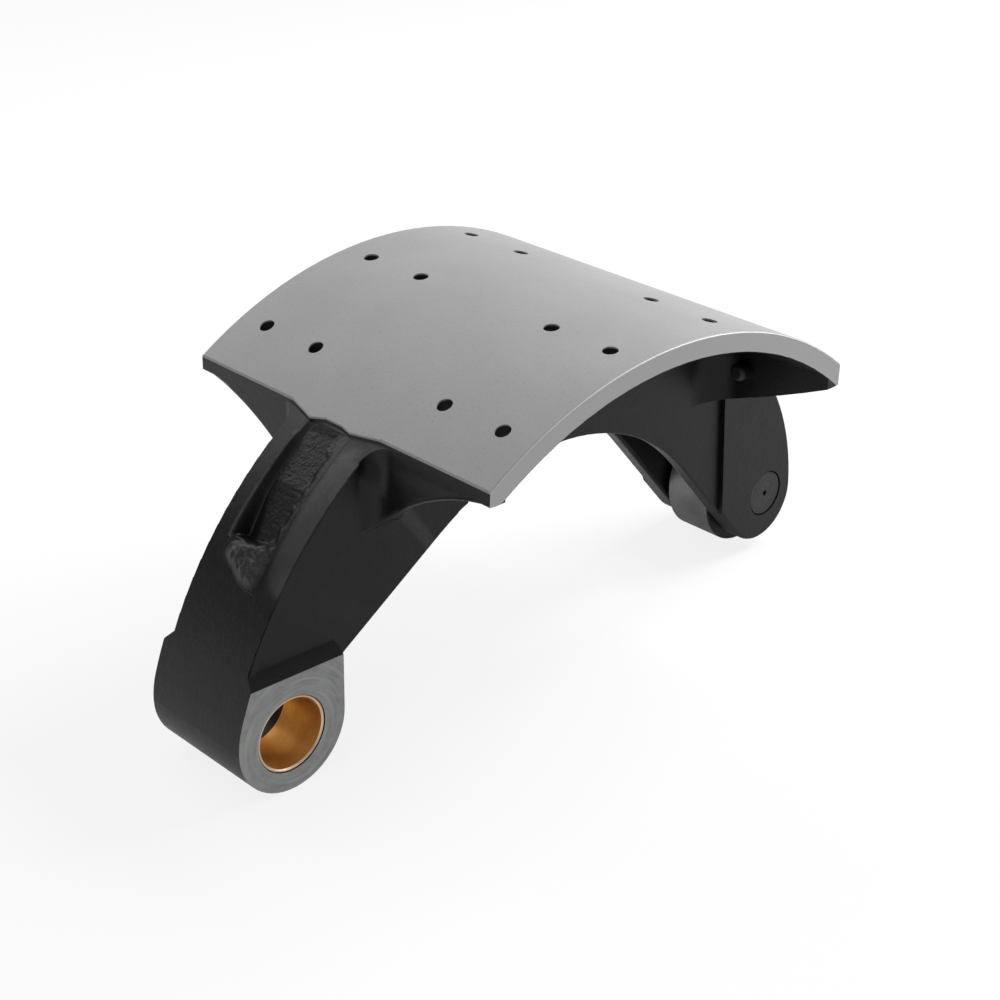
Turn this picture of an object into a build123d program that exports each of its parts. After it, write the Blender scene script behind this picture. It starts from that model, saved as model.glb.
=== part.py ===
from build123d import *
import math
import os

# Drum brake shoe without its lining: one casting that stands on its anchor boss and its roller.
# Lengths are millimetres and angles are degrees. X runs from the anchor end to the cam end,
# Y is across the brake and Z is up. The origin is the middle of the anchor bore.

# Table that carries the lining, about the drum axis
table_radius = 190
table_width = 180
table_thickness = 9
anchor_edge_angle = 33
cam_edge_angle = 38
table_fillet = 6
table_edge = 0.5

# Web with its arm, drawn as one outline from the boss over the arch to the fork
arm_width = 48
arm_step = 2
web_depth = 65.5
arch_anchor_angle = 33.4
arch_cam_angle = 49
arch_edge = 1.2
arm_crotch = 12
arm_rim_width = 4
arm_rim_rise = 0.8
arm_rim_edge = 0.6

# Anchor boss, its bore and the two bushes in it
anchor_angle = 74.2
boss_radius = 27.5
boss_setback = 0.4
boss_offset = 0.5
boss_lift = 1
boss_blend = 40
boss_width = 58
boss_rise = 34
boss_ledge_fall = 6.6
boss_tilt = 1.8
boss_round = 1.5
boss_crown = 3
boss_corner = 10
bush_outer_radius = 17.5
bush_wall = 1.5
bush_length = 25
bush_recess = 0.4
bush_chamfer = 0.5

# Fork at the cam end, with raised cheeks
fork_width = 53
fork_tip_radius = 23
fork_tip_back = 3
fork_shoulder_angle = 56.5
fork_edge = 1.5
cheek_lean = 4.3

# Channel between the side walls of the web, which opens out into the slot of the fork
slot_width = 29
channel_roof = 17
channel_start_angle = 20
channel_corner = 12
slot_start_angle = 47
slot_corner = 8
slot_edge = 2

# Cam roller and its pin
roller_setback = 25
roller_radius = 30
roller_width = 26
roller_chamfer = 1
pin_radius = 12
pin_clearance = 0.05
pin_recess = 0.4
pin_chamfer = 0.8
pin_centre_radius = 1.4
pin_centre_depth = 3

# Walls that close the table at each end and run down to the arm and the fork
wall_thickness = 8
wall_corner = 9
wall_inner_corner = 15
wall_edge = 2.5
anchor_wall_tip = 6.8
anchor_wall_root = 41
anchor_wall_slope = 8
cam_wall_tip = 10.7
cam_wall_root = 37
cam_wall_slope = 25
lip_length = 6
lip_clearance = 0.2

# Rivet holes for the lining
rivet_hole_radius = 3.5
rivet_rows = 4
rivet_first_inset = 7.9
rivet_last_inset = 6.25
rivet_edge_inset = 17
rivet_pair_gap = 33

# Root of the arm, which is turned with the table and stands past its edge
root_far_reach = 3.2
root_far_place = 13
root_near_reach = 2.3
root_near_place = 11
root_dip_reach = 1.2
root_dip_half = 5
root_spread = 27
root_corner = 2.5

# Rough hollow in the outer face of the arm, the trough in it and the lump that closes it
hollow_gap = 4
hollow_length = 57
hollow_far_side = 13.5
hollow_near_side = 11
hollow_start_depth = 0.8
hollow_middle_depth = 2.6
hollow_end_depth = 4.2
hollow_corner = 2.5
trough_width = 14.5
trough_depth = 7
lump_gap = 67
lump_half = 9.2
lump_far_side = 12.8
lump_near_side = 8.5
lump_rise = 1.2
lump_corner = 3
lump_edge = 0.8

# Pegs for the return springs, in the wall at the cam end
peg_place = 42.4
peg_depth = 16
peg_radius = 4.3
peg_reach = 6
peg_dome = 2
peg_shank_radius = 3

# How far a cut runs past what it cuts, and how close a point counts as found
overrun = 5
found_within = 0.05

# Values that follow from the sizes above
table_under_radius = table_radius - table_thickness
table_half = table_width / 2
arm_outer_radius = table_radius - arm_step
arm_half = arm_width / 2
arch_radius = arm_outer_radius - web_depth
anchor_radius = arm_outer_radius - boss_radius - boss_setback
boss_half = boss_width / 2
bush_inner_radius = bush_outer_radius - bush_wall
fork_half = fork_width / 2
slot_half = slot_width / 2
roof_radius = arm_outer_radius - channel_roof
drum_x = anchor_radius * math.sin(math.radians(anchor_angle))
drum_z = -anchor_radius * math.cos(math.radians(anchor_angle))
boss_back = boss_offset - boss_radius
boss_front = boss_offset + boss_radius
back_rise = drum_z + math.sqrt(arm_outer_radius**2 - (boss_back - drum_x) ** 2)
roller_z = roller_radius + boss_lift - boss_radius
roller_x = drum_x + math.sqrt((arm_outer_radius - roller_setback) ** 2 - (roller_z - drum_z) ** 2)
far = 2 * table_radius
side_view = Plane.XZ


def polar(radius, angle):
    """Place in the side view, from the drum axis, at an angle from the vertical to the cam end."""
    turn = math.radians(angle)
    return (drum_x + radius * math.sin(turn), drum_z + radius * math.cos(turn))


def radial_plane(radius, angle, across=0):
    """Plane that faces away from the drum axis, with its X across the brake."""
    turn = math.radians(angle)
    x, z = polar(radius, angle)
    return Plane(
        origin=(x, across, z), x_dir=(0, 1, 0), z_dir=(math.sin(turn), 0, math.cos(turn))
    )


def section_plane(angle):
    """Plane through the drum axis, with its X across the brake and its Y outwards."""
    turn = math.radians(angle)
    return Plane(
        origin=(drum_x, 0, drum_z), x_dir=(0, 1, 0), z_dir=(math.cos(turn), 0, -math.sin(turn))
    )


def at_place(points, place):
    """The points of a sketch that lie at a place."""
    return [point for point in points if math.dist((point.X, point.Y), place) < found_within]


def on_arch(point):
    """Whether a point lies on the arch of the web, or on its straight run to the fork's tip."""
    x, z = point.X - drum_x, point.Z - drum_z
    turn = math.radians(arch_cam_angle)
    straight = x * math.sin(turn) + z * math.cos(turn)
    return min(abs(math.hypot(x, z) - arch_radius), abs(straight - arch_radius)) < found_within


anchor_edge_x, anchor_edge_z = polar(table_radius, -anchor_edge_angle)
cam_edge_x, cam_edge_z = polar(table_radius, cam_edge_angle)


# Everything inside the arm's round outer face, which blends into the upright back of the boss
with BuildSketch(side_view) as arm_back:
    with Locations((drum_x, drum_z)):
        Circle(arm_outer_radius)
    with Locations((boss_back, 0)):
        Rectangle(far, 2 * far, align=(Align.MIN, Align.CENTER), mode=Mode.INTERSECT)
    fillet(at_place(vertices(), (boss_back, back_rise)), boss_blend)


# Side outline of the web: the boss, the arm, the arch and the tip of the fork
shoulder = polar(arm_outer_radius, fork_shoulder_angle)
shoulder_turn = math.radians(fork_shoulder_angle)
arch_cam_turn = math.radians(arch_cam_angle)
arch_cam_end = polar(arch_radius, arch_cam_angle)
arch_anchor_end = polar(arch_radius, -arch_anchor_angle)
tip_x = roller_x - fork_tip_back
tip_radial = arch_radius + fork_tip_radius
tip_z = drum_z + (tip_radial - (tip_x - drum_x) * math.sin(arch_cam_turn)) / math.cos(arch_cam_turn)
# The arc from the shoulder meets the round of the tip without a corner
lead_x, lead_z = shoulder[0] - tip_x, shoulder[1] - tip_z
lead_inwards = -lead_x * math.sin(shoulder_turn) - lead_z * math.cos(shoulder_turn)
flank_radius = (fork_tip_radius**2 - lead_x**2 - lead_z**2) / (2 * (lead_inwards + fork_tip_radius))
flank_x = shoulder[0] - flank_radius * math.sin(shoulder_turn)
flank_z = shoulder[1] - flank_radius * math.cos(shoulder_turn)
tip_share = fork_tip_radius / (flank_radius - fork_tip_radius)
tip_right = (tip_x + (tip_x - flank_x) * tip_share, tip_z + (tip_z - flank_z) * tip_share)
tip_low = (
    tip_x - fork_tip_radius * math.sin(arch_cam_turn),
    tip_z - fork_tip_radius * math.cos(arch_cam_turn),
)
crotch_run = arch_anchor_end[0] - boss_front
crotch = (boss_front, arch_anchor_end[1] - crotch_run * math.tan(math.radians(arch_anchor_angle)))

with BuildSketch(side_view) as web_outline:
    with BuildLine():
        Polyline(
            (boss_back, boss_lift),
            (boss_back - overrun, boss_lift),
            (boss_back - overrun, far),
            polar(far, fork_shoulder_angle),
            shoulder,
        )
        TangentArc(
            shoulder, tip_right, tangent=(math.cos(shoulder_turn), -math.sin(shoulder_turn))
        )
        ThreePointArc(tip_right, (tip_x, tip_z - fork_tip_radius), tip_low)
        Line(tip_low, arch_cam_end)
        ThreePointArc(arch_cam_end, polar(arch_radius, 0), arch_anchor_end)
        Polyline(arch_anchor_end, crotch, (boss_front, boss_lift))
        ThreePointArc(
            (boss_front, boss_lift), (boss_offset, boss_lift - boss_radius), (boss_back, boss_lift)
        )
    make_face()
    add(arm_back.sketch_local, mode=Mode.INTERSECT)
    fillet(at_place(vertices(), crotch), arm_crotch)


# Raised rim along the outer corner of the arm, from the boss to the wall's rounded corner
with BuildPart() as arm_rim:
    with BuildSketch(side_view):
        with Locations((drum_x, drum_z)):
            Circle(arm_outer_radius)
            Circle(arm_outer_radius - arm_rim_width, mode=Mode.SUBTRACT)
        with Locations((anchor_edge_x - wall_corner, boss_radius)):
            Rectangle(far, far, align=(Align.MAX, Align.MIN), mode=Mode.INTERSECT)
    extrude(amount=arm_half + arm_rim_rise, both=True)
    fillet(arm_rim.edges().filter_by(GeomType.CIRCLE), arm_rim_edge)


# Table: a T section swung about the drum axis, then cut square at both ends
with BuildPart() as table:
    swing = anchor_edge_angle + cam_edge_angle
    with BuildSketch(section_plane(-swing)):
        with Locations((0, table_radius - table_thickness / 2)):
            Rectangle(table_width, table_thickness)
        with Locations((0, table_under_radius - table_fillet)):
            Rectangle(arm_width, 2 * table_fillet)
        for side in (-1, 1):
            fillet(at_place(vertices(), (side * arm_half, table_under_radius)), table_fillet)
    revolve(axis=Axis((drum_x, 0, drum_z), (0, 1, 0)), revolution_arc=2 * swing)
    with BuildSketch(Plane.XY.offset(drum_z)):
        with Locations(((anchor_edge_x + cam_edge_x) / 2, 0)):
            Rectangle(cam_edge_x - anchor_edge_x, table_width)
    extrude(amount=far, mode=Mode.INTERSECT)
    chamfer(table.faces().sort_by(SortBy.AREA)[-1].edges(), table_edge)
    # Both ends are cut level below, just above the lower edge of the wall there
    with BuildSketch(side_view):
        for x, lip_z in (
            (anchor_edge_x, anchor_edge_z - anchor_wall_tip + lip_clearance),
            (cam_edge_x, cam_edge_z - cam_wall_tip + lip_clearance),
        ):
            with Locations((x, lip_z)):
                Rectangle(2 * lip_length, table_thickness, align=(Align.CENTER, Align.MAX))
    extrude(amount=table_half, both=True, mode=Mode.SUBTRACT)


# Boss at the anchor end: round below, with a ledge on top that falls away to both faces
with BuildPart() as boss:
    with BuildSketch(side_view):
        with Locations((boss_offset, boss_lift)):
            Circle(boss_radius)
        with Locations((boss_front, boss_lift)):
            Rectangle(
                2 * boss_radius + overrun,
                boss_rise + boss_crown - boss_lift,
                align=(Align.MAX, Align.MIN),
            )
        fillet(at_place(vertices(), (boss_front, boss_rise + boss_crown)), boss_corner)
        add(arm_back.sketch_local, mode=Mode.INTERSECT)
    extrude(amount=boss_half, both=True)
    tilt = math.radians(boss_tilt)
    tilted = Plane(origin=(0, 0, 0), x_dir=(0, 1, 0), z_dir=(math.cos(tilt), 0, -math.sin(tilt)))
    with BuildSketch(tilted):
        face_rise = boss_rise - boss_ledge_fall
        top_half = arm_half - boss_round
        with BuildLine():
            Polyline(
                (-boss_half, -far),
                (-boss_half, face_rise),
                (-top_half, boss_rise),
                (top_half, boss_rise),
                (boss_half, face_rise),
                (boss_half, -far),
                close=True,
            )
        make_face()
        for side in (-1, 1):
            fillet(at_place(vertices(), (side * boss_half, face_rise)), boss_round)
    extrude(amount=far, both=True, mode=Mode.INTERSECT)


# Raised cheeks of the fork, from the wall at the cam end to the tip
with BuildPart() as cheeks:
    with BuildSketch(side_view):
        add(web_outline.sketch_local)
        with Locations((cam_edge_x, cam_edge_z - cam_wall_root)):
            Rectangle(
                far,
                2 * far,
                rotation=cheek_lean,
                align=(Align.MIN, Align.CENTER),
                mode=Mode.INTERSECT,
            )
    extrude(amount=fork_half, both=True)
    fillet(cheeks.edges().filter_by(GeomType.CIRCLE), fork_edge)


# Root of the arm, turned with the table: it stands past the table's edge and blends into it
with BuildPart() as arm_root:
    with BuildSketch(Plane.XY.offset(drum_z)):
        root_places = [
            (anchor_edge_x, -root_spread),
            (anchor_edge_x - root_near_reach, -root_near_place),
            (anchor_edge_x - root_dip_reach, -root_dip_half),
            (anchor_edge_x - root_dip_reach, root_dip_half),
            (anchor_edge_x - root_far_reach, root_far_place),
            (anchor_edge_x, root_spread),
        ]
        inner_x = anchor_edge_x + wall_thickness
        with BuildLine():
            Polyline((inner_x, -root_spread), *root_places, (inner_x, root_spread), close=True)
        make_face()
        for place in root_places[1:-1]:
            fillet(at_place(vertices(), place), root_corner)
    extrude(amount=far)
    with BuildSketch(side_view):
        with Locations((drum_x, drum_z)):
            Circle(table_radius)
            Circle(table_under_radius, mode=Mode.SUBTRACT)
    extrude(amount=table_half, both=True, mode=Mode.INTERSECT)


def end_wall(outer_x, inward, inner_corner, tip_z, root_z, slope):
    """Wall across the table's end, with corners rounded in plan where it meets the web."""
    inner_x = outer_x + inward * wall_thickness
    first_x = outer_x - inward * wall_corner
    last_x = inner_x + inward * inner_corner
    middle_x, length = (first_x + last_x) / 2, abs(last_x - first_x)
    tip_run, tip_fall = math.cos(math.radians(slope)), math.sin(math.radians(slope))
    with BuildPart() as wall:
        # Plan: a cross of the wall and a stub of the web, cut where its round corners end
        with BuildSketch(Plane.XY.offset(drum_z)):
            with Locations(((outer_x + inner_x) / 2, 0)):
                Rectangle(wall_thickness, table_width)
            with Locations((middle_x, 0)):
                Rectangle(2 * length, arm_width)
            for x, corner in ((outer_x, wall_corner), (inner_x, inner_corner)):
                for side in (-1, 1):
                    fillet(at_place(vertices(), (x, side * arm_half)), corner)
            with Locations((middle_x, 0)):
                Rectangle(length, table_width, mode=Mode.INTERSECT)
        extrude(amount=far)
        # End view: the lower edge sweeps down from each side of the table to the web
        with BuildSketch(Plane.YZ):
            with BuildLine():
                Line((arm_half, root_z), (-arm_half, root_z))
                TangentArc(
                    (-table_half, tip_z), (-arm_half, root_z), tangent=(tip_run, -tip_fall)
                )
                Polyline((-table_half, tip_z), (-table_half, far), (table_half, far), (table_half, tip_z))
                TangentArc((table_half, tip_z), (arm_half, root_z), tangent=(-tip_run, -tip_fall))
            make_face()
        extrude(amount=far, both=True, mode=Mode.INTERSECT)
        rims = wall.edges().filter_by(GeomType.CIRCLE).filter_by(Plane.YZ)
        fillet(rims.filter_by_position(Axis.X, outer_x - found_within, outer_x + found_within), wall_edge)
        with BuildSketch(side_view):
            with Locations((drum_x, drum_z)):
                Circle(arm_outer_radius)
        extrude(amount=table_half, both=True, mode=Mode.INTERSECT)
    return wall.part


anchor_wall = end_wall(
    anchor_edge_x,
    1,
    wall_corner,
    anchor_edge_z - anchor_wall_tip,
    anchor_edge_z - anchor_wall_root,
    anchor_wall_slope,
)
cam_wall = end_wall(
    cam_edge_x,
    -1,
    wall_inner_corner,
    cam_edge_z - cam_wall_tip,
    cam_edge_z - cam_wall_root,
    cam_wall_slope,
)


# What the core leaves open: the channel inside the web and the slot of the fork
with BuildPart() as slot_core:
    with BuildSketch(side_view):
        with BuildLine():
            Polyline(
                (drum_x, drum_z),
                polar(far, -channel_start_angle),
                polar(far, slot_start_angle),
                close=True,
            )
        make_face()
        with Locations((drum_x, drum_z)):
            Circle(roof_radius, mode=Mode.INTERSECT)
        with BuildLine():
            Polyline(
                (drum_x, drum_z),
                polar(far, slot_start_angle),
                (drum_x + far, drum_z),
                close=True,
            )
        make_face()
        fillet(at_place(vertices(), polar(roof_radius, -channel_start_angle)), channel_corner)
        fillet(at_place(vertices(), polar(roof_radius, slot_start_angle)), slot_corner)
    extrude(amount=slot_half, both=True)


# The rough hollow lies in the outer face of the arm, below the table's edge
hollow_start_angle = -anchor_edge_angle - math.degrees(hollow_gap / arm_outer_radius)
hollow_end_angle = hollow_start_angle - math.degrees(hollow_length / arm_outer_radius)
hollow_middle_angle = (hollow_start_angle + hollow_end_angle) / 2
hollow_half = hollow_length / 2


def arm_cut(plan, end_depth):
    """Cut into the arm's outer face, whose floor falls from the table's end to a depth below."""
    with BuildPart() as cut:
        with BuildSketch(radial_plane(arm_outer_radius, hollow_middle_angle)):
            with BuildLine():
                Polyline(*plan, close=True)
            make_face()
            fillet(vertices(), hollow_corner)
        extrude(amount=2 * trough_depth, both=True)
        with BuildSketch(side_view):
            with BuildLine():
                Polyline(
                    polar(arm_outer_radius + overrun, hollow_start_angle),
                    polar(arm_outer_radius - hollow_start_depth, hollow_start_angle),
                    polar(arm_outer_radius - hollow_middle_depth, hollow_middle_angle),
                    polar(arm_outer_radius - end_depth, hollow_end_angle),
                    polar(arm_outer_radius + overrun, hollow_end_angle),
                    close=True,
                )
            make_face()
        extrude(amount=arm_half, both=True, mode=Mode.INTERSECT)
    return cut.part


# Its plan, with Y down the arm, and the deep trough that opens along the far side of its lower half
hollow = arm_cut(
    [
        (-hollow_near_side, hollow_half),
        (-hollow_near_side, -hollow_half),
        (hollow_far_side, -hollow_half),
        (hollow_far_side, hollow_half),
    ],
    hollow_end_depth,
)
trough = arm_cut(
    [
        (hollow_far_side, 0),
        (hollow_far_side, hollow_half),
        (hollow_far_side - trough_width, hollow_half),
    ],
    trough_depth,
)


# Lump that closes the lower end of the hollow: three-cornered, with a rounded top edge
lump_angle = -anchor_edge_angle - math.degrees(lump_gap / arm_outer_radius)
lump_plane = radial_plane(arm_outer_radius + lump_rise, lump_angle)
with BuildPart() as lump:
    with BuildSketch(lump_plane):
        with BuildLine():
            Polyline(
                (-lump_near_side, -lump_half),
                (lump_far_side, 0),
                (-lump_near_side, lump_half),
                close=True,
            )
        make_face()
        fillet(vertices(), lump_corner)
    extrude(amount=-(lump_rise + trough_depth + overrun))
    fillet(lump.faces().sort_by(Axis((0, 0, 0), lump_plane.z_dir))[-1].edges(), lump_edge)


# The casting: everything above as one piece, then its channel, bores and holes
with BuildPart() as shoe_casting:
    with BuildSketch(side_view):
        add(web_outline.sketch_local)
    extrude(amount=arm_half, both=True)
    arch_arcs = shoe_casting.edges().filter_by(GeomType.CIRCLE)
    fillet([edge for edge in arch_arcs if on_arch(edge @ 0.5)], arch_edge)
    for piece in (arm_rim.part, table.part, boss.part, cheeks.part, anchor_wall, cam_wall):
        add(piece)
    add(arm_root.part)

    # Channel and slot, with the lips that face the drum axis rounded
    add(slot_core.part, mode=Mode.SUBTRACT)
    slot_lips = [
        edge
        for edge in shoe_casting.edges()
        if abs(abs((edge @ 0.5).Y) - slot_half) < found_within and on_arch(edge @ 0.5)
    ]
    fillet(slot_lips, slot_edge)

    # Hollow and lump on the arm
    add(hollow, mode=Mode.SUBTRACT)
    add(trough, mode=Mode.SUBTRACT)
    add(lump.part)

    # Bores for the bushes and the pin
    with BuildSketch(side_view):
        Circle(bush_outer_radius)
        with Locations((roller_x, roller_z)):
            Circle(pin_radius)
    extrude(amount=table_half, both=True, mode=Mode.SUBTRACT)

    # Rivet holes, in pairs on each side of the web
    first_angle = rivet_first_inset - anchor_edge_angle
    row_angle = (cam_edge_angle - rivet_last_inset - first_angle) / (rivet_rows - 1)
    outer_place = table_half - rivet_edge_inset
    for row in range(rivet_rows):
        for place in (outer_place, outer_place - rivet_pair_gap):
            for side in (-1, 1):
                with Locations(radial_plane(table_radius, first_angle + row * row_angle, side * place)):
                    Hole(rivet_hole_radius, depth=2 * table_thickness)

    # Holes for the pegs
    with BuildSketch(Plane.YZ.offset(cam_edge_x - wall_thickness - overrun)):
        for side in (-1, 1):
            with Locations((side * peg_place, cam_edge_z - peg_depth)):
                Circle(peg_shank_radius)
    extrude(amount=wall_thickness + 2 * overrun, mode=Mode.SUBTRACT)
shoe_casting.part.label = "shoe_casting"
pieces = [shoe_casting.part]


# Two thin bushes, pressed in from both sides of the boss
for name, side in (("anchor_bush_near", -1), ("anchor_bush_far", 1)):
    with BuildPart() as bush:
        with BuildSketch(side_view.offset(-side * (boss_half - bush_recess))):
            Circle(bush_outer_radius)
            Circle(bush_inner_radius, mode=Mode.SUBTRACT)
        extrude(amount=side * bush_length)
        chamfer(bush.edges().filter_by(GeomType.CIRCLE), bush_chamfer)
    bush.part.label = name
    pieces.append(bush.part)


# Pin of the roller, flush with the cheeks, with a small centre hole in each end
pin_half = fork_half - pin_recess
with BuildPart() as roller_pin:
    with BuildSketch(side_view):
        with Locations((roller_x, roller_z)):
            Circle(pin_radius)
    extrude(amount=pin_half, both=True)
    chamfer(roller_pin.edges().filter_by(GeomType.CIRCLE), pin_chamfer)
    for side in (-1, 1):
        with Locations(Plane(origin=(roller_x, side * pin_half, roller_z), z_dir=(0, side, 0))):
            Hole(pin_centre_radius, depth=pin_centre_depth)
roller_pin.part.label = "roller_pin"
pieces.append(roller_pin.part)


# Roller that the cam pushes on, free to turn on its pin
with BuildPart() as cam_roller:
    with BuildSketch(side_view):
        with Locations((roller_x, roller_z)):
            Circle(roller_radius)
            Circle(pin_radius + pin_clearance, mode=Mode.SUBTRACT)
    extrude(amount=roller_width / 2, both=True)
    chamfer(cam_roller.edges().filter_by(GeomType.CIRCLE), roller_chamfer)
cam_roller.part.label = "cam_roller"
pieces.append(cam_roller.part)


# Pegs with a domed head on the inner side of the wall and a shank through it
for name, side in (("spring_peg_near", -1), ("spring_peg_far", 1)):
    peg_plane = Plane(
        origin=(cam_edge_x - wall_thickness, side * peg_place, cam_edge_z - peg_depth),
        x_dir=(0, 1, 0),
        z_dir=(-1, 0, 0),
    )
    with BuildPart() as peg:
        with BuildSketch(peg_plane):
            Circle(peg_radius)
        extrude(amount=peg_reach)
        fillet(peg.faces().sort_by(Axis.X)[0].edges(), peg_dome)
        with BuildSketch(peg_plane):
            Circle(peg_shank_radius)
        extrude(amount=-wall_thickness)
    peg.part.label = name
    pieces.append(peg.part)


os.makedirs("parts", exist_ok=True)
for piece in pieces:
    export_step(piece, f"parts/{piece.label}.step")
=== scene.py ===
import math

import bpy
from mathutils import Matrix, Vector, noise


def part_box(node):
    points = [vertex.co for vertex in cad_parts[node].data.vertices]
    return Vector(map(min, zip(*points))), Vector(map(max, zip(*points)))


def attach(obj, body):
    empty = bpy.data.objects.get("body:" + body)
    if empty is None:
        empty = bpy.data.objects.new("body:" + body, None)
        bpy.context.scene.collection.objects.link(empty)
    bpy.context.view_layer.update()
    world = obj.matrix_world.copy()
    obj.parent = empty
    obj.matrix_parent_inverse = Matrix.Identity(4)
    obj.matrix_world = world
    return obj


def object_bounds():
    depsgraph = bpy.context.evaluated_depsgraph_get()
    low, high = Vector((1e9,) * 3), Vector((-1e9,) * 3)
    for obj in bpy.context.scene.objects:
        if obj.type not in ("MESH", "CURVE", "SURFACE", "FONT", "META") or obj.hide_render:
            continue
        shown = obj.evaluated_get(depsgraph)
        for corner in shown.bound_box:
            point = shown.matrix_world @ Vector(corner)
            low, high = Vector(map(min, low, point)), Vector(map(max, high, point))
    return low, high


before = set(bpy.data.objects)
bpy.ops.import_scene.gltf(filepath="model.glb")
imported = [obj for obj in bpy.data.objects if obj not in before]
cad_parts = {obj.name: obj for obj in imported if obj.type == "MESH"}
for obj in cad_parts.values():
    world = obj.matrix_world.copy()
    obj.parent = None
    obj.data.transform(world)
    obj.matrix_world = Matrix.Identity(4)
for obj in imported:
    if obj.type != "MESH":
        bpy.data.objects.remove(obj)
cad_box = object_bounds()

# Brake shoe without its lining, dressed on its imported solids. Lengths are metres.
MM = 0.001

# Places in the part's own frame. The anchor bore is the origin, and the drum axis lies below
# the table.
DRUM_X = 154.05 * MM
DRUM_Z = -43.59 * MM
TABLE_RADIUS = 190 * MM
TABLE_INNER_RADIUS = 181 * MM
TABLE_SIDE = 90 * MM
TABLE_EDGE_ANGLE = math.radians(-33)
HOLES_START = 53 * MM
HOLES_END = 268 * MM
HOLES_SIDE = 85 * MM
ARM_RADIUS = 188 * MM
ROOT_EDGE = 46.5 * MM
ROOT_SEAM = 0.4 * MM
BOSS_FACE = 29 * MM
BOSS_REACH = 30 * MM
BUSH_END = 28.6 * MM
ROLLER_END = 13 * MM

# Ground band on the arm's outer face: along it from the table's edge, and across the brake
BAND_START = 4 * MM
BAND_END = 78 * MM
BAND_INNER = -10 * MM
BAND_OUTER = -34 * MM

# Depths of the relief that the finishes press into their surfaces
CASTING_RELIEF = 0.16 * MM
BAND_DISH = 4.5 * MM
BRONZE_RELIEF = 0.02 * MM
ROLLER_RELIEF = 0.015 * MM
PIN_RELIEF = 0.02 * MM
PEG_RELIEF = 0.06 * MM

# Noise of scale 1 has lumps of about this size
NOISE_LUMP = 0.5

# Arcs of noise have their stated length at this distance from their axis
ARC_RADIUS = 20 * MM


def linear(level):
    """Grey of a screen level from 0 to 255, as the shaders need it."""
    share = level / 255
    grey = share / 12.92 if share <= 0.04045 else ((share + 0.055) / 1.055) ** 2.4
    return (grey, grey, grey, 1)


def tint(red, green, blue):
    """Colour of three screen levels."""
    return (linear(red)[0], linear(green)[0], linear(blue)[0], 1)


# Bare iron of the table and the boss
TABLE_GREY = linear(166)
TABLE_PALE = linear(170)
TABLE_GRAIN = linear(128)
# Painted light: the table's sides are painted paler than its top, for the light they catch
FLANK_PAINTED_LIGHT = linear(214)
# Painted shade inside the rivet holes, whose bare walls are grey
HOLE_PAINTED_SHADE = linear(34)
BOSS_GREY = linear(154)
BOSS_PALE = linear(178)
BOSS_CLOUD = tint(176, 184, 178)
BOSS_SCRATCH = linear(100)

# Paint on the casting and the pegs
PAINT_BLACK = linear(14)
PAINT_SOFT_BLACK = linear(20)
PAINT_THIN = linear(36)
# Painted highlight on the arm's ground band and on the proud parts of its skin
PAINT_HIGHLIGHT = linear(52)
PEG_PAINT = linear(24)
PEG_PAINT_THIN = linear(36)
PEG_RUBBED = linear(84)

# Bronze and steel
BRONZE_BRIGHT = tint(246, 200, 124)
BRONZE_DULL = tint(226, 172, 96)
BRONZE_LINE = tint(236, 196, 140)
# Painted highlight on the faced rim of the bush
BRONZE_RIM_HIGHLIGHT = tint(250, 226, 206)
ROLLER_BRIGHT = linear(168)
ROLLER_STAIN = linear(146)
ROLLER_LINE = linear(110)
# Dark grey of the roller's end faces
ROLLER_END_DARK = linear(16)
ROLLER_END_PALE = linear(26)
PIN_DARK = linear(56)
PIN_PALE = linear(76)
PIN_RING = linear(42)

# Surroundings
WHITE = (1, 1, 1, 1)
PAPER_PALE = linear(245)
# Painted shade: dim paper that bounce light sees, mixed in half on the floor's right as polished
# surfaces see it
PAPER_PAINTED_SHADE = linear(110)


class Field:
    """A value that changes over a surface. Sums, products and powers of it add Math nodes."""

    def __init__(self, shader, plug):
        self.shader = shader
        self.plug = plug

    def math(self, operation, *values):
        sockets = {place: value for place, value in enumerate(values)}
        return self.shader.node("ShaderNodeMath", {"operation": operation}, sockets)

    def __add__(self, other):
        return self.math("ADD", self, other)

    __radd__ = __add__

    def __sub__(self, other):
        return self.math("SUBTRACT", self, other)

    def __rsub__(self, other):
        return self.math("SUBTRACT", other, self)

    def __mul__(self, other):
        return self.math("MULTIPLY", self, other)

    __rmul__ = __mul__

    def __truediv__(self, other):
        return self.math("DIVIDE", self, other)

    def __pow__(self, other):
        return self.math("POWER", self, other)

    def __abs__(self):
        return self.math("ABSOLUTE", self)

    def most(self, other):
        return self.math("MAXIMUM", self, other)

    def rise(self, low, high):
        """0 below low and 1 above high, or the other way round where high is the lower one."""
        settings = {"interpolation_type": "SMOOTHSTEP", "clamp": True}
        sockets = {"Value": self, "From Min": low, "From Max": high, "To Min": 0.0, "To Max": 1.0}
        if high < low:
            sockets.update({"From Min": high, "From Max": low, "To Min": 1.0, "To Max": 0.0})
        return self.shader.node("ShaderNodeMapRange", settings, sockets)

    def rings(self, width):
        """Even lines of a width, as a wave from 0 to 1."""
        return self.math("SINE", self * (2 * math.pi / width)) * 0.5 + 0.5


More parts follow.
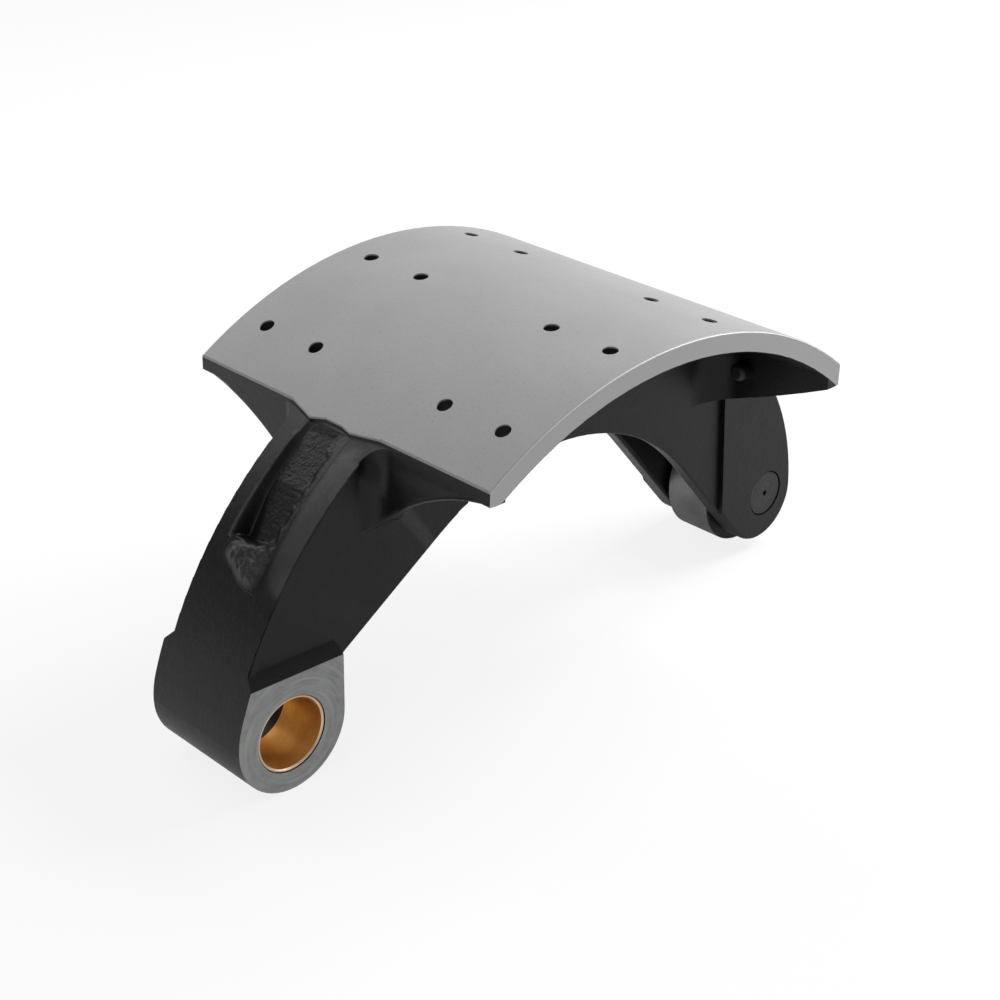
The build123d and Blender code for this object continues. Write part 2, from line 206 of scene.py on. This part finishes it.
class Shader:
    """The nodes of one material or world."""

    # Places of the factor, the two colours and the resulting colour on a Mix node
    MIX_COLOURS = (0, 6, 7, 2)

    def __init__(self, owner):
        owner.use_nodes = True
        self.owner = owner
        self.tree = owner.node_tree
        self.tree.nodes.clear()

    def node(self, kind, settings=None, sockets=None, output=0):
        """Adds a node, sets it up, feeds its sockets and gives one of its outputs."""
        made = self.tree.nodes.new(kind)
        for key, value in (settings or {}).items():
            setattr(made, key, value)
        for key, value in (sockets or {}).items():
            if isinstance(value, Field):
                self.tree.links.new(value.plug, made.inputs[key])
            else:
                made.inputs[key].default_value = value
        return Field(self, made.outputs[output]) if made.outputs else None

    def blend(self, share, first, second):
        """Colour that goes from the first to the second as the share goes from 0 to 1."""
        factor, a, b, result = self.MIX_COLOURS
        return self.node(
            "ShaderNodeMix",
            {"data_type": "RGBA", "clamp_factor": True},
            {factor: share, a: first, b: second},
            result,
        )

    def axes(self, vector):
        """The three parts of a vector."""
        return [
            self.node("ShaderNodeSeparateXYZ", sockets={0: vector}, output=axis) for axis in "XYZ"
        ]

    def rays(self):
        """Two shares: 1 for the camera's own rays, and 1 for reflected and refracted rays."""
        kinds = ("Is Camera Ray", "Is Glossy Ray", "Is Transmission Ray")
        seen, mirrored, through = (self.node("ShaderNodeLightPath", output=kind) for kind in kinds)
        return seen, mirrored.most(through)


class Finish(Shader):
    """A material that is worked out from places in the part's own frame."""

    def __init__(self, name):
        super().__init__(bpy.data.materials.new(name))
        self.place = self.node("ShaderNodeTexCoord", output="Object")
        self.x, self.y, self.z = self.axes(self.place)

    def distance(self, x, z):
        """Distance from an axis across the brake."""
        return ((self.x - x) ** 2 + (self.z - z) ** 2) ** 0.5

    def round_marks(self, x, z, length, width):
        """Noise drawn out into arcs round an axis across the brake."""
        away = self.distance(x, z).most(MM)
        spread = ARC_RADIUS / length
        vector = self.node(
            "ShaderNodeCombineXYZ",
            sockets={
                "X": (self.x - x) / away * spread,
                "Y": (self.z - z) / away * spread,
                "Z": away / width,
            },
        )
        sockets = {"Vector": vector, "Scale": NOISE_LUMP, "Detail": 4.0, "Roughness": 0.6}
        return self.node("ShaderNodeTexNoise", {"noise_dimensions": "3D"}, sockets)

    def stretched(self, along_x, along_y, along_z):
        """The place with each direction scaled, for marks that run one way."""
        return self.node(
            "ShaderNodeVectorMath",
            {"operation": "MULTIPLY"},
            {0: self.place, 1: (along_x, along_y, along_z)},
        )

    def grain(self, size, detail=2.0, roughness=0.5, vector=None):
        """Soft noise from 0 to 1 whose lumps have about the given size."""
        sockets = {"Vector": vector or self.place, "Scale": NOISE_LUMP / size}
        sockets.update({"Detail": detail, "Roughness": roughness})
        return self.node("ShaderNodeTexNoise", {"noise_dimensions": "3D"}, sockets)

    def bump(self, height, depth, before=None):
        """Normal of a surface whose height field goes from 0 to the depth in metres."""
        sockets = {"Height": height, "Distance": depth, "Strength": 1.0}
        if before:
            sockets["Normal"] = before
        return self.node("ShaderNodeBump", None, sockets)

    def surface(self, sockets):
        """Finished material whose surface has these values."""
        surface = self.node("ShaderNodeBsdfPrincipled", None, sockets)
        self.node("ShaderNodeOutputMaterial", None, {"Surface": surface})
        return self.owner


def table_places(shader, radius, across):
    """Shares that are 1 on the table's turned face, on its two sides and in its rivet holes."""
    turned = radius.rise(TABLE_RADIUS - 0.8 * MM, TABLE_RADIUS - 0.6 * MM)
    turned *= shader.x.rise(ROOT_EDGE - ROOT_SEAM, ROOT_EDGE)

    # The paint ends in a ragged line along the lower edge of each side
    ragged = (shader.grain(2.5 * MM, 3.0) - 0.5) * (0.5 * MM)
    lower_edge = (TABLE_INNER_RADIUS - 0.1 * MM, TABLE_INNER_RADIUS + 0.3 * MM)
    flank = across.rise(TABLE_SIDE - 0.3 * MM, TABLE_SIDE - 0.2 * MM)
    flank *= (radius + ragged).rise(*lower_edge)

    # Inside the plate, only the walls of the holes show between its two round faces
    drilled = radius.rise(TABLE_INNER_RADIUS + 0.2 * MM, TABLE_INNER_RADIUS + 0.4 * MM)
    drilled *= across.rise(HOLES_SIDE, HOLES_SIDE - 0.5 * MM)
    drilled *= shader.x.rise(HOLES_START, HOLES_START + MM)
    drilled *= shader.x.rise(HOLES_END, HOLES_END - MM) * (1 - turned)
    return turned, flank, drilled


def ground_band(shader):
    """Tilt of the arm's ground band: 0 at the rough hollow, and 1 at the arm's near corner."""
    angle = (shader.x - DRUM_X).math("ARCTAN2", shader.x - DRUM_X, shader.z - DRUM_Z)
    along = (TABLE_EDGE_ANGLE - angle) * ARM_RADIUS
    band = shader.y.rise(BAND_INNER, BAND_OUTER)
    band *= along.rise(BAND_START, BAND_START + 12 * MM)
    return band * along.rise(BAND_END, BAND_END - 18 * MM)


def paint_look(shader, radius, band):
    """Colour, roughness and height of the paint, which lies thin on high spots of the skin, with a
    painted highlight on the arm's ground band and proud parts.
    """
    skin = shader.grain(1.6 * MM, 4.0, 0.62)
    blotch = shader.grain(22 * MM, 3.0, 0.55)
    colour = shader.blend(blotch.rise(0.3, 0.7), PAINT_BLACK, PAINT_SOFT_BLACK)
    colour = shader.blend(skin.rise(0.6, 0.85) * 0.5, colour, PAINT_THIN)

    # Painted highlight: lighter paint on the ground band and on the proud parts of the arm's rough
    # skin, for the light they catch
    arm_face = shader.x.rise(ROOT_EDGE, ROOT_EDGE - ROOT_SEAM)
    arm_face *= radius.rise(ARM_RADIUS - 0.8 * MM, ARM_RADIUS - 0.2 * MM)
    proud = radius.rise(ARM_RADIUS + 0.5 * MM, ARM_RADIUS + 1.3 * MM)
    painted_highlight = arm_face * proud.most(band.rise(0.01, 0.1)) * 0.8
    return shader.blend(painted_highlight, colour, PAINT_HIGHLIGHT), 0.34 + 0.14 * skin, skin


def table_look(shader, flank, drilled):
    """Colour, roughness and height of the machined table: even grey with faint turning lines,
    painted light on its sides and painted shade in its rivet holes.
    """
    cloud = shader.grain(18 * MM, 2.0)
    speckle = shader.grain(0.6 * MM, 3.0, 0.65)
    turning = shader.y.rings(0.5 * MM)
    colour = shader.blend(cloud.rise(0.3, 0.7), TABLE_GREY, TABLE_PALE)
    colour = shader.blend(speckle.rise(0.5, 0.8) * 0.4, colour, TABLE_GRAIN)
    # Painted light: the sides of the table are painted paler than its top
    colour = shader.blend(flank, colour, FLANK_PAINTED_LIGHT)
    # Painted shade: the bare walls of the rivet holes are painted dark
    colour = shader.blend(drilled, colour, HOLE_PAINTED_SHADE)
    return colour, 0.5 + 0.1 * speckle, 0.08 * speckle + 0.02 * turning


def boss_look(shader):
    """Colour, roughness and height of the faced boss: swirling tool marks round the bore."""
    swirl = shader.round_marks(2 * MM, -MM, 16 * MM, 0.9 * MM)
    fine_swirl = shader.round_marks(-MM, 0, 9 * MM, 0.35 * MM)
    cloud = shader.grain(2.5 * MM, 4.0, 0.65)
    colour = shader.blend(swirl.rise(0.4, 0.65), BOSS_GREY, BOSS_PALE)
    colour = shader.blend(cloud.rise(0.35, 0.65) * 0.5, colour, BOSS_CLOUD)
    colour = shader.blend(fine_swirl.rise(0.5, 0.7) * 0.3, colour, BOSS_SCRATCH)
    return colour, 0.34 + 0.2 * swirl, 0.06 * swirl + 0.04 * fine_swirl


def casting_finish():
    """Satin black paint on a cast skin, bare where the table and the boss are machined."""
    shader = Finish("casting")
    radius = shader.distance(DRUM_X, DRUM_Z)
    across = abs(shader.y)
    band = ground_band(shader)
    turned, flank, drilled = table_places(shader, radius, across)
    table = turned.most(flank).most(drilled)
    boss = across.rise(BOSS_FACE - 0.15 * MM, BOSS_FACE - 0.05 * MM)
    boss *= shader.x.rise(BOSS_REACH, BOSS_REACH - MM)
    painted = 1 - table.most(boss)

    paint_colour, paint_roughness, paint_height = paint_look(shader, radius, band)
    table_colour, table_roughness, table_height = table_look(shader, flank, drilled)
    boss_colour, boss_roughness, boss_height = boss_look(shader)
    colour = shader.blend(table, paint_colour, table_colour)
    height = painted * paint_height + table * table_height + boss * boss_height
    roughness = painted * paint_roughness + table * table_roughness + boss * boss_roughness
    dish = shader.bump(band * painted, BAND_DISH)
    return shader.surface(
        {
            "Base Color": shader.blend(boss, colour, boss_colour),
            "Metallic": (table - drilled) * 0.2 + boss * 0.7,
            "Roughness": roughness,
            "Specular IOR Level": 0.32,
            "Normal": shader.bump(height, CASTING_RELIEF, dish),
        }
    )


def bronze_finish():
    """Bored bronze with fine lines round the bore, and a painted highlight on the rim where its
    end is faced.
    """
    shader = Finish("bush_bronze")
    lines = shader.grain(0.25 * MM, 2.0, 0.6, shader.stretched(0.04, 1.0, 0.04))
    cloud = shader.grain(5 * MM, 3.0, 0.6)
    # Painted highlight: the faced rim is painted near white
    rim = abs(shader.y).rise(BUSH_END - 0.6 * MM, BUSH_END - 0.4 * MM)
    colour = shader.blend(cloud.rise(0.3, 0.7), BRONZE_BRIGHT, BRONZE_DULL)
    colour = shader.blend(lines.rise(0.5, 0.8) * 0.4, colour, BRONZE_LINE)
    return shader.surface(
        {
            "Base Color": shader.blend(rim * 0.8, colour, BRONZE_RIM_HIGHLIGHT),
            "Metallic": 0.8,
            "Roughness": 0.3 + 0.16 * cloud + 0.1 * lines,
            "Normal": shader.bump(lines, BRONZE_RELIEF),
        }
    )


def roller_finish(centre):
    """Ground steel with fine lines round the axis, coloured dark grey on its ends."""
    shader = Finish("roller_steel")
    round_lines = shader.grain(0.3 * MM, 2.0, 0.6, shader.stretched(0.03, 1.0, 0.03))
    face_lines = shader.round_marks(centre.x, centre.z, 14 * MM, 0.5 * MM)
    on_end = abs(shader.y).rise(ROLLER_END - 0.9 * MM, ROLLER_END - 0.5 * MM)
    stain = shader.grain(7 * MM, 4.0, 0.65)
    colour = shader.blend(stain.rise(0.35, 0.7), ROLLER_BRIGHT, ROLLER_STAIN)
    colour = shader.blend(round_lines * 0.25, colour, ROLLER_LINE)
    # The end faces are coloured dark grey, with paler arcs round the axis
    end_colour = shader.blend(face_lines.rise(0.4, 0.65), ROLLER_END_DARK, ROLLER_END_PALE)
    lines = (1 - on_end) * round_lines + on_end * face_lines
    return shader.surface(
        {
            "Base Color": shader.blend(on_end, colour, end_colour),
            "Metallic": 0.5 - on_end * 0.5,
            "Roughness": 0.36 + 0.16 * stain + on_end * 0.1,
            "Normal": shader.bump(lines, ROLLER_RELIEF),
        }
    )


def pin_finish(centre):
    """Dark oiled steel, turned on its ends."""
    shader = Finish("pin_steel")
    rings = shader.distance(centre.x, centre.z).rings(0.8 * MM)
    marks = shader.round_marks(centre.x, centre.z, 10 * MM, 0.5 * MM)
    colour = shader.blend(marks.rise(0.4, 0.62), PIN_DARK, PIN_PALE)
    return shader.surface(
        {
            "Base Color": shader.blend(rings * 0.2, colour, PIN_RING),
            "Metallic": 0.6,
            "Roughness": 0.36 + 0.15 * marks,
            "Normal": shader.bump(rings * 0.5 + marks, PIN_RELIEF),
        }
    )


def peg_finish():
    """Black paint like the casting's, rubbed in places down to the steel."""
    shader = Finish("peg_steel")
    skin = shader.grain(1.0 * MM, 3.0, 0.6)
    rub = shader.grain(2.4 * MM, 3.0, 0.6).rise(0.6, 0.8)
    colour = shader.blend(skin.rise(0.4, 0.8), PEG_PAINT, PEG_PAINT_THIN)
    return shader.surface(
        {
            "Base Color": shader.blend(rub * 0.6, colour, PEG_RUBBED),
            "Metallic": rub * 0.4,
            "Roughness": 0.34 + 0.2 * skin,
            "Normal": shader.bump(skin, PEG_RELIEF),
        }
    )


def dress(node, material):
    """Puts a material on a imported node."""
    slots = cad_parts[node].data.materials
    slots.clear()
    slots.append(material)


# Rough hollow in the arm's outer face and the lump that closes it. These lengths are millimetres:
# along the arm from the table's edge, across the arm from its middle, and above its round face.
HOLLOW_START = 4
HOLLOW_MIDDLE = 32.5
HOLLOW_END = 61
HOLLOW_NEAR_SIDE = -11
HOLLOW_FAR_SIDE = 13.5
HOLLOW_FLOOR = ((HOLLOW_START, -0.8), (HOLLOW_MIDDLE, -2.6), (HOLLOW_END, -4.2))
TROUGH_FLOOR = ((HOLLOW_START, -0.8), (HOLLOW_MIDDLE, -2.6), (HOLLOW_END, -7))
TROUGH_EDGE = ((HOLLOW_MIDDLE, HOLLOW_FAR_SIDE), (HOLLOW_END, -1))
LUMP_CORNERS = ((57.8, -8.5), (67, 12.8), (76.2, -8.5))
LUMP_HEIGHT = 1.2

# Rounding of the lump's corners in the solid, and in the skin that lies over it
LUMP_ROUND = 3
LUMP_SKIN_ROUND = 5.5

# The skin is a net of points that starts and ends on the arm's round face. It lies above the
# solid where it covers it, and dips below the solid all round.
SKIN_START = 1
SKIN_END = 80
SKIN_SIDE = 18
SKIN_PITCH = 0.4
SKIN_CLEARANCE = 0.04
SKIN_DIP = 0.3
FLOOR_SKIN = 0.3
LUMP_SKIN = 0.8
RIM_HEIGHT = 0.9


def smoothstep(low, high, value):
    """0 at low and 1 at high with a soft start and end, or the other way round."""
    share = min(max((value - low) / (high - low), 0), 1)
    return share * share * (3 - 2 * share)


def piece_at(stops, place):
    """The two stops round a place, and the place's share of the way between them."""
    place = min(max(place, stops[0][0]), stops[-1][0])
    for first, second in zip(stops, stops[1:]):
        if place <= second[0]:
            return first, second, (place - first[0]) / (second[0] - first[0])


def arm_point(along, across, height):
    """Place on the arm's outer face, along it from the table's edge, and above it."""
    angle = TABLE_EDGE_ANGLE - along * MM / ARM_RADIUS
    radius = ARM_RADIUS + height * MM
    x = DRUM_X + radius * math.sin(angle)
    z = DRUM_Z + radius * math.cos(angle)
    return Vector((x, across * MM, z))


def floor_height(along, stops):
    """Height of a floor in the solid, which is straight between its stops in the side view."""
    (start, first), (end, last), share = piece_at(stops, along)
    here = arm_point(start, 0, first).lerp(arm_point(end, 0, last), share)
    return (math.hypot(here.x - DRUM_X, here.z - DRUM_Z) - ARM_RADIUS) / MM


def trough_side(along):
    """Near side of the trough, which runs slantwise over the hollow's lower half."""
    (_, first), (_, last), share = piece_at(TROUGH_EDGE, along)
    return first + (last - first) * share


def lump_depth(along, across, corner):
    """How far a place lies inside the lump's three sides, with its corners rounded."""
    missing = 0
    for first, second in zip(LUMP_CORNERS, LUMP_CORNERS[1:] + LUMP_CORNERS[:1]):
        run, rise = second[0] - first[0], second[1] - first[1]
        away = run * (across - first[1]) - rise * (along - first[0])
        missing += max(corner + away / math.hypot(run, rise), 0) ** 2
    return corner - missing**0.5


def solid_height(along, across):
    """Height of the solid's own surface, so that the skin stays above it."""
    if lump_depth(along, across, LUMP_ROUND) > 0:
        return LUMP_HEIGHT
    if HOLLOW_START < along < HOLLOW_END and HOLLOW_NEAR_SIDE < across < HOLLOW_FAR_SIDE:
        in_trough = along > HOLLOW_MIDDLE and across > trough_side(along)
        return floor_height(along, TROUGH_FLOOR if in_trough else HOLLOW_FLOOR)
    return 0


def rough(along, across, size, seed):
    """Fractal noise between about -1 and 1 with lumps of one size."""
    return noise.fractal(Vector((along / size + seed, across / size, seed)), 0.9, 2.1, 4)


def hollow_height(along, across, wander, grain):
    """Grainy floor of the hollow, which falls into a deep trough along its far side below."""
    trough = smoothstep(trough_side(along) + 0.2, HOLLOW_FAR_SIDE + 1, across + 0.8 * wander)
    trough *= smoothstep(HOLLOW_MIDDLE - 2.5, HOLLOW_MIDDLE + 3.5, along)
    upper, lower = floor_height(along, HOLLOW_FLOOR), floor_height(along, TROUGH_FLOOR)
    floor = upper + (lower - upper) * trough + FLOOR_SKIN
    inside = smoothstep(HOLLOW_NEAR_SIDE, HOLLOW_NEAR_SIDE + 7, across + 2.2 * wander)
    inside *= smoothstep(HOLLOW_FAR_SIDE + 0.4, HOLLOW_FAR_SIDE - 2.3, across + 0.2 * wander)
    inside *= smoothstep(HOLLOW_START - 2, HOLLOW_START + 4, along)
    inside *= smoothstep(HOLLOW_END + 0.4, HOLLOW_END - 2.5, along)
    return floor * inside + 0.18 * grain * inside * (1 - 0.3 * trough)


def rim_height(along, across, wander):
    """Raised rim along the hollow's far side."""
    rim = smoothstep(HOLLOW_FAR_SIDE - 0.5, HOLLOW_FAR_SIDE + 0.7, across)
    rim *= smoothstep(HOLLOW_FAR_SIDE + 3.3, HOLLOW_FAR_SIDE + 0.9, across + 0.4 * wander)
    rim *= smoothstep(HOLLOW_START + 5, HOLLOW_START + 12, along)
    rim *= smoothstep(HOLLOW_END + 3, HOLLOW_END - 1, along)
    return (RIM_HEIGHT + 0.4 * wander) * rim


def skin_cover(along, across, wander, depth):
    """1 where the skin covers the hollow or the lump, falling to 0 beyond them."""
    near_side = HOLLOW_NEAR_SIDE + 0.9 * wander
    cover = smoothstep(near_side - 2.4, near_side - 0.6, across)
    cover *= smoothstep(SKIN_SIDE - 0.4, SKIN_SIDE - 1.2, across)
    cover *= smoothstep(HOLLOW_END + 2.5, HOLLOW_END + 1, along)
    return max(cover, smoothstep(-5, -3.6, depth + 1.1 * wander))


def skin_height(along, across):
    """Height of the rough skin above the arm's round face."""
    wander = rough(along, across, 8, 3)
    grain = 0.4 * rough(along, across, 1.8, 1) + 0.6 * rough(along, across, 0.9, 7)
    height = hollow_height(along, across, wander, grain) + rim_height(along, across, wander)

    # Lump with lobes, which closes the hollow
    depth = lump_depth(along, across, LUMP_SKIN_ROUND)
    lump = smoothstep(-3.6, 1.6, depth + 1.1 * wander)
    top = LUMP_HEIGHT + LUMP_SKIN + 0.7 * rough(along, across, 5, 11) + 0.16 * grain
    height += (top - height) * lump

    height = max(height, solid_height(along, across) + SKIN_CLEARANCE)
    cover = skin_cover(along, across, wander, depth)
    return height * cover - SKIN_DIP * (1 - cover)


def rough_skin(material):
    """Rough cast skin in the hollow of the arm and over the lump that closes it."""
    rows = round((SKIN_END - SKIN_START) / SKIN_PITCH)
    columns = round(2 * SKIN_SIDE / SKIN_PITCH)
    points = []
    for row in range(rows + 1):
        along = SKIN_START + row * SKIN_PITCH
        for column in range(columns + 1):
            across = column * SKIN_PITCH - SKIN_SIDE
            points.append(arm_point(along, across, skin_height(along, across)))
    faces = []
    for row in range(rows):
        for column in range(columns):
            corner = row * (columns + 1) + column
            faces.append((corner, corner + columns + 1, corner + columns + 2, corner + 1))
    mesh = bpy.data.meshes.new("arm_rough_skin")
    mesh.from_pydata(points, [], faces)
    mesh.polygons.foreach_set("use_smooth", [True] * len(faces))
    mesh.materials.append(material)
    piece = bpy.data.objects.new("arm_rough_skin", mesh)
    bpy.context.scene.collection.objects.link(piece)
    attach(piece, "shoe")


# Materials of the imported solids, and the skin
roller_low, roller_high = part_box("cam_roller")
roller_centre = (roller_low + roller_high) / 2
casting = casting_finish()
bronze = bronze_finish()
peg_steel = peg_finish()
dress("shoe_casting", casting)
dress("cam_roller", roller_finish(roller_centre))
dress("roller_pin", pin_finish(roller_centre))
for side in ("near", "far"):
    dress("anchor_bush_" + side, bronze)
    dress("spring_peg_" + side, peg_steel)
rough_skin(casting)


# Camera at the photograph's viewing angle
CAMERA_PLACE = Vector((-0.4079, -0.5524, 0.4447))
CAMERA_RIGHT = Vector((0.7130, -0.7009, 0.0193))
CAMERA_FORWARD = Vector((0.6308, 0.6292, -0.4541))
FOCAL_LENGTH = 69.7
SENSOR_WIDTH = 36
NEAREST_SEEN = 0.01
FARTHEST_SEEN = 50

forward = CAMERA_FORWARD.normalized()
right = (CAMERA_RIGHT - CAMERA_RIGHT.dot(forward) * forward).normalized()
up = right.cross(forward)
camera_data = bpy.data.cameras.new("camera")
camera_data.lens = FOCAL_LENGTH
camera_data.sensor_width = SENSOR_WIDTH
camera_data.clip_start = NEAREST_SEEN
camera_data.clip_end = FARTHEST_SEEN
camera = bpy.data.objects.new("camera", camera_data)
turn = Matrix((right, up, -forward)).transposed().to_4x4()
camera.matrix_world = Matrix.Translation(CAMERA_PLACE) @ turn
bpy.context.scene.collection.objects.link(camera)
bpy.context.scene.camera = camera

# Lamps and floor are placed from the middle of the part
middle = (cad_box[0] + cad_box[1]) / 2


def area_light(name, place, size, power):
    """Soft square lamp that looks at the middle of the part."""
    lamp = bpy.data.lights.new(name, "AREA")
    lamp.shape = "SQUARE"
    lamp.size = size
    lamp.energy = power
    holder = bpy.data.objects.new(name, lamp)
    holder.location = middle + Vector(place)
    holder.rotation_euler = (-Vector(place)).to_track_quat("-Z", "Y").to_euler()
    bpy.context.scene.collection.objects.link(holder)


area_light("key", place=(1.25, -0.22, 1.0), size=0.9, power=35)
area_light("back", place=(-0.25, 1.25, 0.95), size=0.9, power=5.5)
area_light("left", place=(-1.5, -0.2, 0.6), size=0.8, power=3)

# The floor's share of glow, which takes it to white: as the camera sees it, and as a polished
# surface shows it, on its right and on its left
FLOOR_HALF = 4.0
GLOW_SEEN = 0.84
GLOW_RIGHT = 0.15
GLOW_LEFT = 0.6


def floor_paper():
    """Paper that keeps the shadow, and shows nearly white to the camera where no shadow falls on
    it. Bounce light sees it as dim paper, a painted shade, and polished surfaces see painted light
    on its left and painted shade on its right.
    """
    shader = Shader(bpy.data.materials.new("floor_paper"))
    seen, reflected = shader.rays()
    x, y, _ = shader.axes(shader.node("ShaderNodeTexCoord", output="Object"))
    # Painted light and shade: polished surfaces see the floor glow brighter on its left and dimmer
    # on its right
    leftwards = (y - x).rise(-0.35, 0.25)
    bright = seen.most(reflected * (0.5 + 0.5 * leftwards))
    colour = shader.blend(bright, PAPER_PAINTED_SHADE, PAPER_PALE)
    glow = seen * GLOW_SEEN + reflected * (GLOW_RIGHT + (GLOW_LEFT - GLOW_RIGHT) * leftwards)
    paper = shader.node("ShaderNodeBsdfDiffuse", None, {"Color": colour})
    white = shader.node("ShaderNodeEmission", None, {"Color": WHITE, "Strength": 1.0})
    mix = shader.node("ShaderNodeMixShader", None, {0: glow, 1: paper, 2: white})
    shader.node("ShaderNodeOutputMaterial", None, {"Surface": mix})
    return shader.owner


def stage_floor():
    """Wide floor that the part stands on."""
    mesh = bpy.data.meshes.new("floor")
    signs = ((-1, -1), (1, -1), (1, 1), (-1, 1))
    level = cad_box[0].z
    corners = [(middle.x + x * FLOOR_HALF, middle.y + y * FLOOR_HALF, level) for x, y in signs]
    mesh.from_pydata(corners, [], [(0, 1, 2, 3)])
    mesh.materials.append(floor_paper())
    floor = bpy.data.objects.new("floor", mesh)
    bpy.context.scene.collection.objects.link(floor)


def studio_world():
    """Surroundings that are white to the camera and give an even, low light of their own.

    Polished surfaces show them white up to eye level, dark above it and grey overhead.
    """
    shader = Shader(bpy.data.worlds.new("studio"))
    seen, reflected = shader.rays()
    height = shader.axes(shader.node("ShaderNodeTexCoord", output="Generated"))[2]
    backdrop = height.rise(0.15, 0.0) * 0.88 + height.rise(0.5, 0.8) * 0.4 + 0.12
    strength = seen + reflected * backdrop + (1 - seen - reflected) * 0.3
    sockets = {"Color": WHITE, "Strength": strength}
    background = shader.node("ShaderNodeBackground", None, sockets)
    shader.node("ShaderNodeOutputWorld", None, {"Surface": background})
    bpy.context.scene.world = shader.owner


stage_floor()
studio_world()
bpy.context.scene.view_settings.view_transform = "Standard"
